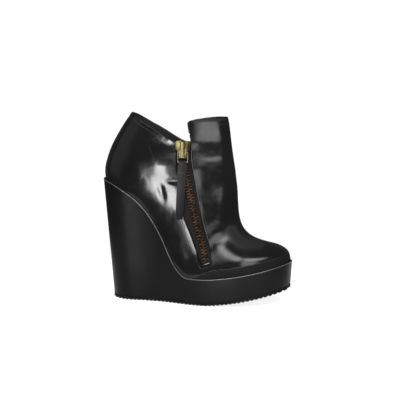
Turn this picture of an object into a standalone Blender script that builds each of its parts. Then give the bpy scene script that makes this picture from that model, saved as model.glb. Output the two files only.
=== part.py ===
# A right-foot ankle boot on a covered wedge with a platform.
# The toe points along +X, the outer (lateral) side faces -Y, and the floor is at zero height.
# Sizes are in millimetres, and MM turns them into metres. Angles are in degrees.

import math
from collections import namedtuple

import bmesh
import bpy
from mathutils import Vector
from mathutils.bvhtree import BVHTree

MM = 0.001

# Whole boot
LENGTH = 224.0
BALL_WIDTH = 94.0
BOOT_HEIGHT = 218.0
HEEL_HEIGHT = 140.0
PLATFORM_HEIGHT = 31.0
GAP = 0.3

# Wedge and outsole
TOE_SPRING = 17.0
SPRING_START = 14.0
SPRING_POWER = 1.45
HEEL_LEAN = 12.0
TOE_LEAN = 2.0
SIDE_DRAFT = 0.028
HEEL_ROUND = 30.0
TOE_ROUND = 64.0
LIP = 1.8
LIP_BEVEL = 0.6
WEDGE_STATIONS = 52
OUTSOLE = 4.0
RIB_PITCH = 4.9
RIB_CREST_SHARE = 0.55
RIB_FLANK_SHARE = 0.1
RIB_DEPTH = 1.2

# Leather
WALL = 1.8
HOLLOW_BELOW = 3.0
HOLLOW_ABOVE = 6.0
SIDE_LOW = 5
SIDE_HIGH = 8
INSOLE = 1.6
INSOLE_STATIONS = 52
INSOLE_LIFT = 0.45
INSOLE_INSET = 5.0

# Zip
TAPE = 0.8
TAPE_DEPTH = 1.0
TAPE_SPLIT = 0.25
TAPE_EDGE = 0.4
TAPE_STEP = 3.5
TEETH_DEPTH = 0.6
WINDOW_STEP = 2.0
TOOTH_PITCH = 3.2
TOOTH_WIDTH = 1.25
TOOTH_REACH = 0.9
RAIL_INNER = 2.6
RAIL_OUTER = 4.0
TEETH_HEIGHT = 1.9
STOP_LENGTH = 2.0
STOP_HALF = 4.0

# Slider, pull ring and strap
SLIDER_HALF = 10.4
WING_HALF = 8.7
WING_DROP = -1.0
WAIST_HALF = 4.6
SLIDER_LIFT = 2.2
SLIDER_PLATE = 1.5
BRIDGE_HALF = 2.0
BRIDGE_RISE = 3.9
NECK_HALF = 1.6
NECK_LOW = 3.0
BACK_PLATE_HALF = 6.6
BACK_PLATE_DEPTH = 3.2
RING_WIRE = 0.85
RING_HALF = 5.8
RING_DROP = 12.2
RING_CORNER = 1.6
HINGE_UP = -2.5
PLY = 1.1
STRAP_NECK_HALF = 4.3
STRAP_TOP_HALF = 5.5
STRAP_END_HALF = 4.4
STRAP_LENGTH = 62.0
REAR_PLY_LONGER = 4.6
STRAP_SWAY_SHARE = 0.06
STRAP_CLEAR = 0.65
FIRST_TURN = -12.0
LAST_TURN = 30.0
TURN_STEP = 0.5

# Places along the zip, as shares of the boot's height
ZIP_FOOT = 0.2202
ZIP_HEAD = 0.8578
TEETH_HEAD = 0.7706
SLIDER_MIDDLE = 0.8234

# Cutters and feelers reach this far past the boot
PAST = 20.0
CUT_SIDE = 80.0
CUT_INNER = -8.0

# Half widths of the tread, as shares of the ball width, at shares of the length from the heel.
Width = namedtuple("Width", "along lateral medial")
OUTLINE = (
    Width(0.00, 0.298, 0.282),
    Width(0.19, 0.314, 0.277),
    Width(0.30, 0.351, 0.271),
    Width(0.39, 0.420, 0.293),
    Width(0.48, 0.489, 0.340),
    Width(0.55, 0.524, 0.394),
    Width(0.62, 0.536, 0.431),
    Width(0.70, 0.535, 0.447),
    Width(0.83, 0.519, 0.441),
    Width(1.00, 0.489, 0.420),
)

# Height of the seam between wedge and upper: a share of the heel's height over the platform.
Rise = namedtuple("Rise", "along rise")
SEAM = (
    Rise(0.00, 1.000),
    Rise(0.045, 0.986),
    Rise(0.10, 0.938),
    Rise(0.16, 0.862),
    Rise(0.205, 0.789),
    Rise(0.26, 0.670),
    Rise(0.305, 0.535),
    Rise(0.345, 0.390),
    Rise(0.38, 0.237),
    Rise(0.415, 0.110),
    Rise(0.447, 0.038),
    Rise(0.48, 0.004),
    Rise(0.52, 0.000),
)

# Sections of the upper, fanned from the toe to the collar. foot and ridge are shares of the
# length, rise a share of the boot's height, lateral and medial half widths over the ball width,
# widest the place of the widest point from foot to ridge.
Section = namedtuple("Section", "step foot ridge rise lateral medial widest back full")
SECTIONS = (
    Section(0, 0.992, 0.992, 0.222, 0.490, 0.415, 0.22, 2.0, 2.3),
    Section(1, 0.978, 0.979, 0.270, 0.493, 0.418, 0.22, 2.0, 2.3),
    Section(2, 0.951, 0.952, 0.292, 0.500, 0.424, 0.22, 2.0, 2.3),
    Section(3, 0.911, 0.913, 0.309, 0.507, 0.431, 0.21, 2.0, 2.2),
    Section(4, 0.848, 0.853, 0.321, 0.517, 0.439, 0.20, 2.0, 2.1),
    Section(5, 0.777, 0.795, 0.341, 0.530, 0.446, 0.18, 2.0, 1.9),
    Section(6, 0.701, 0.757, 0.371, 0.540, 0.446, 0.15, 2.0, 1.6),
    Section(7, 0.616, 0.734, 0.408, 0.536, 0.430, 0.13, 2.0, 1.35),
    Section(8, 0.527, 0.721, 0.450, 0.512, 0.385, 0.12, 2.0, 1.25),
    Section(9, 0.442, 0.716, 0.500, 0.468, 0.340, 0.14, 2.0, 1.28),
    Section(10, 0.375, 0.714, 0.555, 0.425, 0.322, 0.20, 2.2, 1.45),
    Section(11, 0.299, 0.711, 0.610, 0.392, 0.322, 0.28, 2.6, 1.7),
    Section(12, 0.205, 0.705, 0.658, 0.375, 0.325, 0.34, 3.0, 1.9),
    Section(13, 0.098, 0.700, 0.704, 0.360, 0.325, 0.39, 3.4, 2.0),
    Section(14, 0.008, 0.693, 0.750, 0.350, 0.322, 0.42, 3.5, 2.1),
    Section(15, 0.004, 0.686, 0.798, 0.340, 0.318, 0.43, 3.2, 2.1),
    Section(16, 0.016, 0.679, 0.853, 0.330, 0.313, 0.44, 2.9, 2.1),
    Section(17, 0.040, 0.673, 0.904, 0.308, 0.292, 0.45, 2.7, 2.1),
    Section(18, 0.078, 0.667, 0.952, 0.298, 0.278, 0.46, 2.5, 2.1),
    Section(19, 0.125, 0.658, 0.991, 0.292, 0.268, 0.47, 2.4, 2.1),
    Section(20, 0.179, 0.638, 1.050, 0.290, 0.262, 0.47, 2.4, 2.1),
)
# From this step on a section is a closed ring, and its foot lies on the back line.
FIRST_RING = 14
# The back line rises from the heel's height to the boot's, as a share of what lies between.
Back = namedtuple("Back", "step rise")
BACK_LINE = (
    Back(14, -0.0033),
    Back(15, 0.1336),
    Back(16, 0.2957),
    Back(17, 0.4885),
    Back(18, 0.6926),
    Back(19, 0.9106),
    Back(20, 1.1397),
)

# The topline, from the back peak down to the notch and up the front panel. It falls to the inner side.
Edge = namedtuple("Edge", "along rise")
TOPLINE = (
    Edge(0.118, 1.008),
    Edge(0.138, 1.006),
    Edge(0.165, 0.991),
    Edge(0.192, 0.973),
    Edge(0.237, 0.944),
    Edge(0.272, 0.925),
    Edge(0.313, 0.900),
    Edge(0.348, 0.877),
    Edge(0.391, 0.852),
    Edge(0.415, 0.842),
    Edge(0.470, 0.842),
    Edge(0.487, 0.858),
    Edge(0.483, 0.880),
    Edge(0.475, 0.920),
    Edge(0.470, 0.952),
    Edge(0.474, 0.960),
    Edge(0.515, 0.972),
    Edge(0.557, 0.978),
    Edge(0.603, 0.983),
    Edge(0.655, 0.985),
    Edge(0.750, 0.984),
)
INNER_FALL = 0.09

# The zip's centre line, and how far the leather's edges stand off it.
Zip = namedtuple("Zip", "rise along rear front")
ZIP_LINE = (
    Zip(0.200, 0.593, 4.8, 4.6),
    Zip(0.235, 0.581, 6.6, 6.8),
    Zip(0.261, 0.573, 7.6, 7.6),
    Zip(0.321, 0.557, 8.9, 8.0),
    Zip(0.413, 0.530, 10.9, 8.0),
    Zip(0.482, 0.511, 12.8, 8.3),
    Zip(0.560, 0.493, 12.4, 8.7),
    Zip(0.642, 0.476, 11.6, 8.6),
    Zip(0.766, 0.452, 9.2, 9.2),
    Zip(0.858, 0.446, 8.4, 9.4),
    Zip(0.920, 0.445, 8.0, 7.0),
)

# The line through heel and toe lies this far inwards of the middle of the boot's width.
WIDEST_LATERAL = max(row.lateral for row in OUTLINE)
WIDEST_MEDIAL = max(row.medial for row in OUTLINE)
AXIS_Y = (WIDEST_LATERAL - WIDEST_MEDIAL) / 2 * BALL_WIDTH


# A share of the height keeps its place between the toe's seam and the top of the boot.
TOE_SEAM = PLATFORM_HEIGHT + TOE_SPRING
TOE_SEAM_SHARE = 0.2202


def level(share):
    """Height of a share of the boot's height."""
    above = (share - TOE_SEAM_SHARE) / (1 - TOE_SEAM_SHARE)
    return TOE_SEAM + above * (BOOT_HEIGHT - TOE_SEAM)


def share_at(z):
    """The share of the boot's height that lies at a height."""
    return TOE_SEAM_SHARE + (z - TOE_SEAM) / (BOOT_HEIGHT - TOE_SEAM) * (1 - TOE_SEAM_SHARE)


ZIP_BOTTOM = level(ZIP_FOOT)
ZIP_TOP = level(ZIP_HEAD)
TEETH_TOP = level(TEETH_HEAD)
SLIDER_UP = level(SLIDER_MIDDLE)


def value(rows, column, key):
    """One column of a table at a key of its first column, on a smooth curve that doesn't overshoot."""
    keys = [row[0] for row in rows]
    values = [getattr(row, column) for row in rows]
    if key <= keys[0]:
        return values[0]
    if key >= keys[-1]:
        return values[-1]
    first = max(n for n in range(len(keys) - 1) if keys[n] <= key)
    secants = [(values[n + 1] - values[n]) / (keys[n + 1] - keys[n]) for n in range(len(keys) - 1)]

    def slope(n):
        if n == 0 or n == len(secants):
            return secants[min(n, len(secants) - 1)]
        before, after = secants[n - 1], secants[n]
        if before * after <= 0:
            return 0.0
        return 2 * before * after / (before + after)

    span = keys[first + 1] - keys[first]
    t = (key - keys[first]) / span
    rise = values[first + 1] - values[first]
    start = span * slope(first)
    end = span * slope(first + 1)
    bend = 3 * rise - 2 * start - end
    return values[first] + t * start + t * t * bend + t**3 * (start + end - 2 * rise)


# Outline of the wedge and its seam

def end_round(along):
    """How far the ends' rounding draws the outline in, from 0 at the tip to 1."""
    from_heel = along * LENGTH
    from_toe = LENGTH - from_heel
    heel = max(0.0, 1 - from_heel / HEEL_ROUND)
    toe = max(0.0, 1 - from_toe / TOE_ROUND)
    return math.sqrt(max(0.0, 1 - heel**2)) * math.sqrt(max(0.0, 1 - toe**2))


def half_width(side, along, height, inset=0.0):
    """Half width of the wedge at a height, from the line through heel and toe."""
    share = value(OUTLINE, side, along)
    return (share * BALL_WIDTH + SIDE_DRAFT * height - inset) * end_round(along)


def spring(x):
    past = max(0.0, x - SPRING_START) / (LENGTH / 2 - SPRING_START)
    return TOE_SPRING * past**SPRING_POWER


def seam_height(x):
    along = min(1.0, max(0.0, x / LENGTH + 0.5))
    rise = value(SEAM, "rise", along)
    return PLATFORM_HEIGHT + (HEEL_HEIGHT - PLATFORM_HEIGHT) * rise + spring(x)


def seam_point(x, lift):
    """A point of the seam's side view, moved square to the seam by lift."""
    step = 0.5
    slope = (seam_height(x + step) - seam_height(x - step)) / (2 * step)
    length = math.hypot(1, slope)
    return x - lift * slope / length, seam_height(x) + lift / length


def end_spaced(count):
    """Shares from 0 to 1, closer together at both ends."""
    shares = [n / count for n in range(count + 1)]
    return [0.45 * share + 0.55 * (1 - math.cos(math.pi * share)) / 2 for share in shares]


# Meshes

def finish(name, bm, colour, metallic, roughness, origin=(0, 0, 0)):
    """Turns a bmesh in millimetres into a named object with its own material."""
    bmesh.ops.remove_doubles(bm, verts=bm.verts, dist=0.0005)
    bmesh.ops.recalc_face_normals(bm, faces=bm.faces)
    origin = Vector(origin)
    for vertex in bm.verts:
        vertex.co = (vertex.co - origin) * MM
    mesh = bpy.data.meshes.new(name)
    bm.to_mesh(mesh)
    bm.free()
    obj = bpy.data.objects.new(name, mesh)
    obj.location = origin * MM
    bpy.context.scene.collection.objects.link(obj)
    material = bpy.data.materials.new(name)
    material.use_nodes = True
    shader = material.node_tree.nodes["Principled BSDF"]
    shader.inputs["Base Color"].default_value = (*colour, 1)
    shader.inputs["Metallic"].default_value = metallic
    shader.inputs["Roughness"].default_value = roughness
    mesh.materials.append(material)
    return obj


def tube(loops, capped=False, closed=False):
    """A bmesh of rings of points joined one to the next."""
    bm = bmesh.new()
    rings = [[bm.verts.new(point) for point in loop] for loop in loops]
    pairs = list(zip(rings, rings[1:] + rings[:1])) if closed else list(zip(rings, rings[1:]))
    for ring, following in pairs:
        for n in range(len(ring)):
            after = (n + 1) % len(ring)
            bm.faces.new((ring[n], ring[after], following[after], following[n]))
    if capped:
        bm.faces.new(rings[0])
        bm.faces.new(rings[-1][::-1])
    return bm


def tapering(loops):
    """A tube whose first and last rings are flat lines, without the faces that vanish there."""
    bm = tube(loops)
    bmesh.ops.remove_doubles(bm, verts=bm.verts, dist=0.0005)
    bmesh.ops.dissolve_degenerate(bm, edges=bm.edges, dist=0.0004)
    return bm


def helper(name, bm):
    obj = finish(name, bm, (0.5, 0.5, 0.5), 0, 0.5)
    obj.hide_render = True
    obj.display_type = "WIRE"
    return obj


def prism(name, outline, low, high, fall=0.0):
    """A cutter: a side view's outline drawn across the boot, sinking by fall for each millimetre inwards."""
    bm = tube([[Vector((x, y, z - fall * y)) for x, z in outline] for y in (low, high)], capped=True)
    return helper(name, bm)


def boolean(obj, cutter, operation):
    modifier = obj.modifiers.new(cutter.name, "BOOLEAN")
    modifier.operation = operation
    modifier.object = cutter
    modifier.solver = "EXACT"


def smooth(obj):
    for face in obj.data.polygons:
        face.use_smooth = True


# Clear the scene

for old in list(bpy.data.objects):
    bpy.data.objects.remove(old)


# Outsole: ribs across a thin sole, rising to the toe

def tread_stations():
    """Places along the sole and how far each lies up into the tread."""
    first, last = -LENGTH / 2 + HEEL_LEAN, LENGTH / 2 - TOE_LEAN
    count = round((last - first) / RIB_PITCH)
    pitch = (last - first) / count
    stations = []
    for rib in range(count):
        start = first + rib * pitch
        stations.append((start, 0.0))
        if rib == 0:
            stations.append((start + 0.06 * pitch, 0.0))
            stations.append((start + 0.2 * pitch, 0.0))
        stations.append((start + RIB_CREST_SHARE * pitch, 0.0))
        stations.append((start + (RIB_CREST_SHARE + RIB_FLANK_SHARE) * pitch, RIB_DEPTH))
        stations.append((start + (1 - RIB_FLANK_SHARE) * pitch, RIB_DEPTH))
    stations.append((last, 0.0))
    return first, last, stations


def outsole():
    first, last, stations = tread_stations()
    loops = []
    for x, depth in stations:
        along = (x - first) / (last - first)
        lateral = AXIS_Y - half_width("lateral", along, 0)
        medial = AXIS_Y + half_width("medial", along, 0)
        low = spring(x) + depth
        high = spring(x) + OUTSOLE
        corners = ((lateral, low), (lateral, high), (medial, high), (medial, low))
        loops.append([Vector((x, y, z)) for y, z in corners])
    return finish("outsole", tapering(loops), (0.02, 0.02, 0.02), 0, 0.7)


# Wedge: platform and heel in one block, with a lip that the upper stands inside

def wedge():
    loops = []
    for along in end_spaced(WEDGE_STATIONS):
        low_x = -LENGTH / 2 + HEEL_LEAN + along * (LENGTH - HEEL_LEAN - TOE_LEAN)
        high_x = (along - 0.5) * LENGTH
        low_z = spring(low_x) + OUTSOLE + GAP
        high_z = seam_height(high_x)
        in_x = (along - 0.5) * (LENGTH - 2 * LIP_BEVEL)
        lateral = [
            (low_x, AXIS_Y - half_width("lateral", along, 0), low_z),
            (high_x, AXIS_Y - half_width("lateral", along, high_z), high_z - LIP_BEVEL),
            (in_x, AXIS_Y - half_width("lateral", along, high_z, LIP_BEVEL), seam_height(in_x)),
        ]
        medial = [
            (in_x, AXIS_Y + half_width("medial", along, high_z, LIP_BEVEL), seam_height(in_x)),
            (high_x, AXIS_Y + half_width("medial", along, high_z), high_z - LIP_BEVEL),
            (low_x, AXIS_Y + half_width("medial", along, 0), low_z),
        ]
        loops.append([Vector(point) for point in lateral + medial])
    return finish("wedge", tapering(loops), (0.012, 0.012, 0.012), 0, 0.4)


# Insole: a sheet on the footbed, inside the upper

def insole():
    reach = LENGTH - 2 * INSOLE_INSET
    loops = []
    for along in end_spaced(INSOLE_STATIONS):
        x = (along - 0.5) * reach
        low_x, low_z = seam_point(x, INSOLE_LIFT)
        high_x, high_z = seam_point(x, INSOLE_LIFT + INSOLE)
        lateral = AXIS_Y - half_width("lateral", along, low_z, INSOLE_INSET)
        medial = AXIS_Y + half_width("medial", along, low_z, INSOLE_INSET)
        loops.append([
            Vector((low_x, lateral, low_z)),
            Vector((high_x, lateral, high_z)),
            Vector((high_x, medial, high_z)),
            Vector((low_x, medial, low_z)),
        ])
    return finish("insole", tapering(loops), (0.03, 0.028, 0.026), 0, 0.7)


# Upper: fanned sections, hollowed, then cut at the footbed, the topline and the zip

def ridge_line(step):
    x = (value(SECTIONS, "ridge", step) - 0.5) * LENGTH
    return Vector((x, level(value(SECTIONS, "rise", step))))


def back_line(step):
    x = (value(SECTIONS, "foot", step) - 0.5) * LENGTH
    return Vector((x, HEEL_HEIGHT + value(BACK_LINE, "rise", step) * (BOOT_HEIGHT - HEEL_HEIGHT)))


def inwards(line, step, inset, turn):
    """A point of the side view's outline, moved square to it. turn is 1 on the ridge and -1 on the back."""
    low, high = line(step - 0.05), line(step + 0.05)
    along = (high - low).normalized()
    return line(step) + Vector((-along.y, along.x)) * inset * turn


def section_ends(step, inset):
    """Foot and ridge of a section in the side view. The hollow's foot lies below the seam, to open it."""
    if step >= FIRST_RING:
        foot = inwards(back_line, step, inset, -1)
    else:
        x = (value(SECTIONS, "foot", step) - 0.5) * LENGTH * (1 - inset / (LENGTH / 2 - LIP))
        foot = Vector((x, seam_height(x)))
    if inset and step <= FIRST_RING:
        foot.y -= HOLLOW_BELOW
    if step == 0:
        return foot, foot
    ridge = inwards(ridge_line, step, inset, 1)
    if inset and step == SECTIONS[-1].step:
        foot.y += HOLLOW_ABOVE
        ridge.y += HOLLOW_ABOVE
    return foot, ridge


def side_points(step, side, inset):
    """Points of a section up one side, from foot to ridge, as (x, half width, z)."""
    foot, ridge = section_ends(step, inset)
    tip = LENGTH / 2 - LIP - inset
    toe = max(0.0, 1 - (tip - foot.x) / TOE_ROUND)
    widest = (value(SECTIONS, side, step) * BALL_WIDTH - inset) * math.sqrt(max(0.0, 1 - toe**2))
    feather = 0.0
    if step < FIRST_RING:
        along = min(1.0, max(0.0, foot.x / (2 * tip) + 0.5))
        feather = min(widest, half_width(side, along, seam_height(foot.x), LIP + inset))
    closing = 1 - (feather / widest) ** 2 if widest > 0 else 1.0
    at = value(SECTIONS, "widest", step)
    back = value(SECTIONS, "back", step)
    full = value(SECTIONS, "full", step)
    points = []
    for n in range(SIDE_LOW + SIDE_HIGH + 1):
        if n <= SIDE_LOW:
            share = at * (1 - math.sin(math.pi / 2 * (1 - n / SIDE_LOW)))
            width = widest * math.sqrt(max(0.0, 1 - closing * (1 - share / at) ** back))
        else:
            share = at + (1 - at) * math.sin(math.pi / 2 * (n - SIDE_LOW) / SIDE_HIGH)
            above = (share - at) / (1 - at)
            width = widest * max(0.0, 1 - above**full) ** (1 / (1.25 + 0.3 * full))
        place = foot.lerp(ridge, share)
        points.append((place.x, width, place.y))
    return points


def form(inset):
    """The upper's outer form as a solid, or with an inset the form of its hollow."""
    last = SECTIONS[-1].step
    toe_steps = [n / 4 for n in range(4)]
    heel_steps = [FIRST_RING - past for past in (0.65, 0.4, 0.2, 0.08)]
    even_steps = [1 + n / 2 for n in range(2 * last - 1) if 1 + n / 2 != FIRST_RING - 0.5]
    loops = []
    for step in sorted(toe_steps + heel_steps + even_steps):
        lateral = side_points(step, "lateral", inset)
        medial = side_points(step, "medial", inset)
        outwards = [Vector((x, AXIS_Y - width, z)) for x, width, z in lateral]
        loops.append(outwards + [Vector((x, AXIS_Y + width, z)) for x, width, z in medial[-2::-1]])
    bm = tapering(loops)
    bmesh.ops.holes_fill(bm, edges=[edge for edge in bm.edges if edge.is_boundary])
    bmesh.ops.recalc_face_normals(bm, faces=bm.faces)
    return bm


def upper(bm):
    obj = finish("upper", bm, (0.012, 0.012, 0.012), 0, 0.3)
    smooth(obj)
    boolean(obj, helper("hollow", form(WALL)), "DIFFERENCE")

    reach = LENGTH / 2 + PAST
    places = [(along - 0.5) * (LENGTH - 2 * LIP_BEVEL) for along in end_spaced(WEDGE_STATIONS)]
    profile = [seam_point(x, GAP) for x in [-reach] + places + [reach]]
    profile += [(reach, -PAST), (-reach, -PAST)]
    boolean(obj, prism("cut_footbed", profile, -CUT_SIDE, CUT_SIDE), "DIFFERENCE")

    edge = [((row.along - 0.5) * LENGTH, level(row.rise)) for row in TOPLINE]
    sky = BOOT_HEIGHT + 2 * PAST
    edge = [(-reach, sky), (-reach, edge[0][1])] + edge + [(reach, edge[-1][1]), (reach, sky)]
    boolean(obj, prism("cut_topline", edge, -CUT_SIDE, CUT_SIDE, INNER_FALL), "DIFFERENCE")

    rear, front = [], []
    above = level(ZIP_LINE[-1].rise)
    count = round((above - ZIP_BOTTOM) / WINDOW_STEP)
    for n in range(count + 1):
        z = ZIP_BOTTOM + (above - ZIP_BOTTOM) * n / count
        rear.append(zip_point(z, -value(ZIP_LINE, "rear", share_at(z))))
        front.append(zip_point(z, value(ZIP_LINE, "front", share_at(z))))
    boolean(obj, prism("cut_zip", front + rear[::-1], -CUT_SIDE, CUT_INNER), "DIFFERENCE")
    return obj


# Zip: two tapes in the window, two rows of teeth on them

def zip_centre(z):
    return (value(ZIP_LINE, "along", share_at(z)) - 0.5) * LENGTH


def zip_point(z, across):
    """Side-view point at a height of the zip, moved square to its line."""
    slope = (zip_centre(z + 1) - zip_centre(z - 1)) / 2
    length = math.hypot(1, slope)
    return zip_centre(z) + across / length, z - across * slope / length


def on_side(surface, x, z, lift):
    """A point over the lateral side, lifted straight out towards -Y."""
    hit = surface.ray_cast(Vector((x, -CUT_SIDE, z)), Vector((0, 1, 0)))[0]
    return Vector((x, hit.y - lift, z))


def side_normal(surface, x, z):
    reach = 4
    along = on_side(surface, x + reach, z, 0) - on_side(surface, x - reach, z, 0)
    up = on_side(surface, x, z + reach, 0) - on_side(surface, x, z - reach, 0)
    return along.cross(up).normalized()


def tape(surface, name, side):
    """One half of the tape. side is -1 for the rear half and 1 for the front half."""
    column = "rear" if side < 0 else "front"
    bottom = ZIP_BOTTOM + TAPE_EDGE
    count = round((ZIP_TOP - bottom) / TAPE_STEP)
    loops = []
    for n in range(count + 1):
        z = bottom + (ZIP_TOP - bottom) * n / count
        outer = value(ZIP_LINE, column, share_at(z)) - TAPE_EDGE
        spread = min(1.0, max(0.0, (z - (SLIDER_UP - 2)) / 4))
        inner = TAPE_SPLIT + spread * (NECK_HALF + 2 * GAP - TAPE_SPLIT)
        places = [zip_point(z, side * across) for across in (inner, (inner + outer) / 2, outer)]
        face = [on_side(surface, x, up, -TAPE_DEPTH) for x, up in places]
        back = [on_side(surface, x, up, -TAPE_DEPTH - TAPE) for x, up in reversed(places)]
        loops.append(face + back)
    return finish(name, tube(loops, capped=True), (0.015, 0.014, 0.014), 0, 0.8)


def teeth(surface, name, side):
    """One row of teeth joined by the cord that they grip, meshed with the other row."""
    start = ZIP_BOTTOM + STOP_LENGTH + 4 * GAP
    count = int((TEETH_TOP - start) / TOOTH_PITCH)
    shift = 0.0 if side < 0 else TOOTH_PITCH / 2
    bm = bmesh.new()

    def pair(z, across):
        x, up = zip_point(z, side * across)
        levels = (-TEETH_DEPTH, TEETH_HEIGHT - TEETH_DEPTH)
        return [bm.verts.new(on_side(surface, x, up, lift)) for lift in levels]

    def link(first, second):
        bm.faces.new((first[0], first[1], second[1], second[0]))

    stations = []
    for n in range(count):
        low = start + shift + n * TOOTH_PITCH
        stations += [low, low + TOOTH_WIDTH]
    cord = [(pair(z, RAIL_INNER), pair(z, RAIL_OUTER)) for z in stations]
    for n, (inner, outer) in enumerate(cord[:-1]):
        next_inner, next_outer = cord[n + 1]
        for level in (0, 1):
            bm.faces.new((inner[level], outer[level], next_outer[level], next_inner[level]))
        link(outer, next_outer)
        if n % 2:
            link(inner, next_inner)
            continue
        tip, next_tip = pair(stations[n], -TOOTH_REACH), pair(stations[n + 1], -TOOTH_REACH)
        for level in (0, 1):
            bm.faces.new((tip[level], inner[level], next_inner[level], next_tip[level]))
        link(tip, inner)
        link(next_tip, next_inner)
        link(tip, next_tip)
    link(*cord[0])
    link(*cord[-1])
    return finish(name, bm, (0.25, 0.11, 0.05), 1, 0.4)


def bottom_stop(surface):
    low = ZIP_BOTTOM + 3 * GAP
    loops = []
    for z in (low, low + STOP_LENGTH - 2 * GAP):
        rear, front = zip_point(z, -STOP_HALF), zip_point(z, STOP_HALF)
        loops.append((
            on_side(surface, *rear, -TEETH_DEPTH),
            on_side(surface, *rear, TEETH_HEIGHT - TEETH_DEPTH),
            on_side(surface, *front, TEETH_HEIGHT - TEETH_DEPTH),
            on_side(surface, *front, -TEETH_DEPTH),
        ))
    return finish("zip_bottom_stop", tube(loops, capped=True), (0.7, 0.7, 0.72), 1, 0.25)


# Slider, with its own axes: across, up the zip and out of the leather

class Frame:
    def __init__(self, surface):
        x = zip_centre(SLIDER_UP)
        self.origin = on_side(surface, x, SLIDER_UP, 0)
        self.out = side_normal(surface, x, SLIDER_UP)
        self.up = (Vector((0, 0, 1)) - self.out * self.out.z).normalized()
        self.across = self.up.cross(self.out)

    def at(self, across, up, out):
        return self.origin + self.across * across + self.up * up + self.out * out


def block(frame, outline, low, high):
    """A plate: an outline of (across, up) points between two distances out of the leather."""
    return tube([[frame.at(across, up, out) for across, up in outline] for out in (low, high)], capped=True)


def slider(frame):
    top, corner = SLIDER_HALF, 2.0
    right = [
        (WAIST_HALF, -top),
        (WAIST_HALF, WING_DROP - 2),
        (WING_HALF - corner, WING_DROP),
        (WING_HALF, WING_DROP + corner),
        (WING_HALF, top - corner),
        (WING_HALF - corner, top - 0.4),
        (BRIDGE_HALF + 0.6, top),
    ]
    outline = right + [(-across, up) for across, up in reversed(right)]
    low, high = SLIDER_LIFT, SLIDER_LIFT + SLIDER_PLATE
    obj = finish("zip_slider", block(frame, outline, low, high), (0.55, 0.45, 0.2), 1, 0.3)

    crown = high + BRIDGE_RISE
    hole_low, hole_high = HINGE_UP - 2.4, HINGE_UP + 2.4
    sole_in = high - 0.5
    side = [
        (-top, sole_in),
        (hole_low, sole_in),
        (hole_low, crown - 1.5),
        (hole_high, crown - 1.5),
        (hole_high, sole_in),
        (top, sole_in),
        (top, crown - 1.6),
        (top - 1.6, crown),
        (-top + 1.6, crown),
        (-top, crown - 1.6),
    ]
    loops = [[frame.at(across, up, out) for up, out in side] for across in (-BRIDGE_HALF, BRIDGE_HALF)]
    boolean(obj, helper("slider_bridge", tube(loops, capped=True)), "UNION")

    neck = [(-NECK_HALF, top - 1), (0, NECK_LOW), (NECK_HALF, top - 1)]
    neck = block(frame, neck, -BACK_PLATE_DEPTH - 0.5, low + 0.5)
    boolean(obj, helper("slider_neck", neck), "UNION")

    half = BACK_PLATE_HALF
    plate = [(half - 2, -top + 1), (half, 0), (half, top - 2), (half - 1, top - 0.5)]
    plate = plate + [(-across, up) for across, up in reversed(plate)]
    back = block(frame, plate, -BACK_PLATE_DEPTH - 1.2, -BACK_PLATE_DEPTH)
    boolean(obj, helper("slider_back_plate", back), "UNION")
    return obj


# Pull: a wire ring through the bridge, and a leather strap folded over its lower bar

class Swing:
    """Axes of the pull: as the slider's, turned about the hinge."""

    def __init__(self, frame, degrees):
        self.hinge_out = SLIDER_LIFT + SLIDER_PLATE + GAP + RING_WIRE
        self.origin = frame.at(0, HINGE_UP, self.hinge_out)
        turn = math.radians(degrees)
        self.across = frame.across
        self.down = frame.out * math.sin(turn) - frame.up * math.cos(turn)
        self.out = frame.out * math.cos(turn) + frame.up * math.sin(turn)

    def at(self, across, down, out):
        return self.origin + self.across * across + self.down * down + self.out * out


def clearance(surface, point):
    """How far a point stands out of the leather, or of the teeth where it lies over them."""
    over = on_side(surface, point.x, point.z, 0).y - point.y
    on_chain = abs(point.x - zip_centre(point.z)) < RAIL_OUTER + GAP and point.z < TEETH_TOP
    return over - (TEETH_HEIGHT - TEETH_DEPTH) if on_chain else over


def resting_pull(surface, frame):
    """The pull turned inwards until its strap hangs just clear of the teeth and the leather."""
    degrees = FIRST_TURN
    while degrees < LAST_TURN:
        swing = Swing(frame, degrees)
        places = [STRAP_LENGTH * n / 6 for n in range(1, 7)] + [STRAP_LENGTH + REAR_PLY_LONGER]
        backs = []
        for down in places:
            sway = -STRAP_SWAY_SHARE * down
            for across in (-STRAP_TOP_HALF, 0, STRAP_TOP_HALF):
                backs.append(swing.at(sway + across, RING_DROP + down, -PLY))
        if min(clearance(surface, back) for back in backs) >= STRAP_CLEAR:
            return swing
        degrees += TURN_STEP
    return Swing(frame, LAST_TURN)


def pull_ring(swing):
    corners = []
    for quarter in range(4):
        right = quarter in (0, 3)
        lower = quarter in (0, 1)
        middle_across = (RING_HALF - RING_CORNER) * (1 if right else -1)
        middle_down = RING_DROP / 2 + (RING_DROP / 2 - RING_CORNER) * (1 if lower else -1)
        for n in range(5):
            angle = math.radians(90 * quarter + 22.5 * n)
            corners.append((middle_across, middle_down, angle))
    loops = []
    for middle_across, middle_down, angle in corners:
        direction = (math.cos(angle), math.sin(angle))
        loop = []
        for n in range(8):
            turn = math.radians(45 * n + 22.5)
            reach = RING_CORNER + RING_WIRE * math.cos(turn)
            across = middle_across + direction[0] * reach
            down = middle_down + direction[1] * reach
            loop.append(swing.at(across, down, RING_WIRE * math.sin(turn)))
        loops.append(loop)
    obj = finish("pull_ring", tube(loops, closed=True), (0.55, 0.45, 0.2), 1, 0.3, swing.origin)
    smooth(obj)
    return obj


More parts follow.
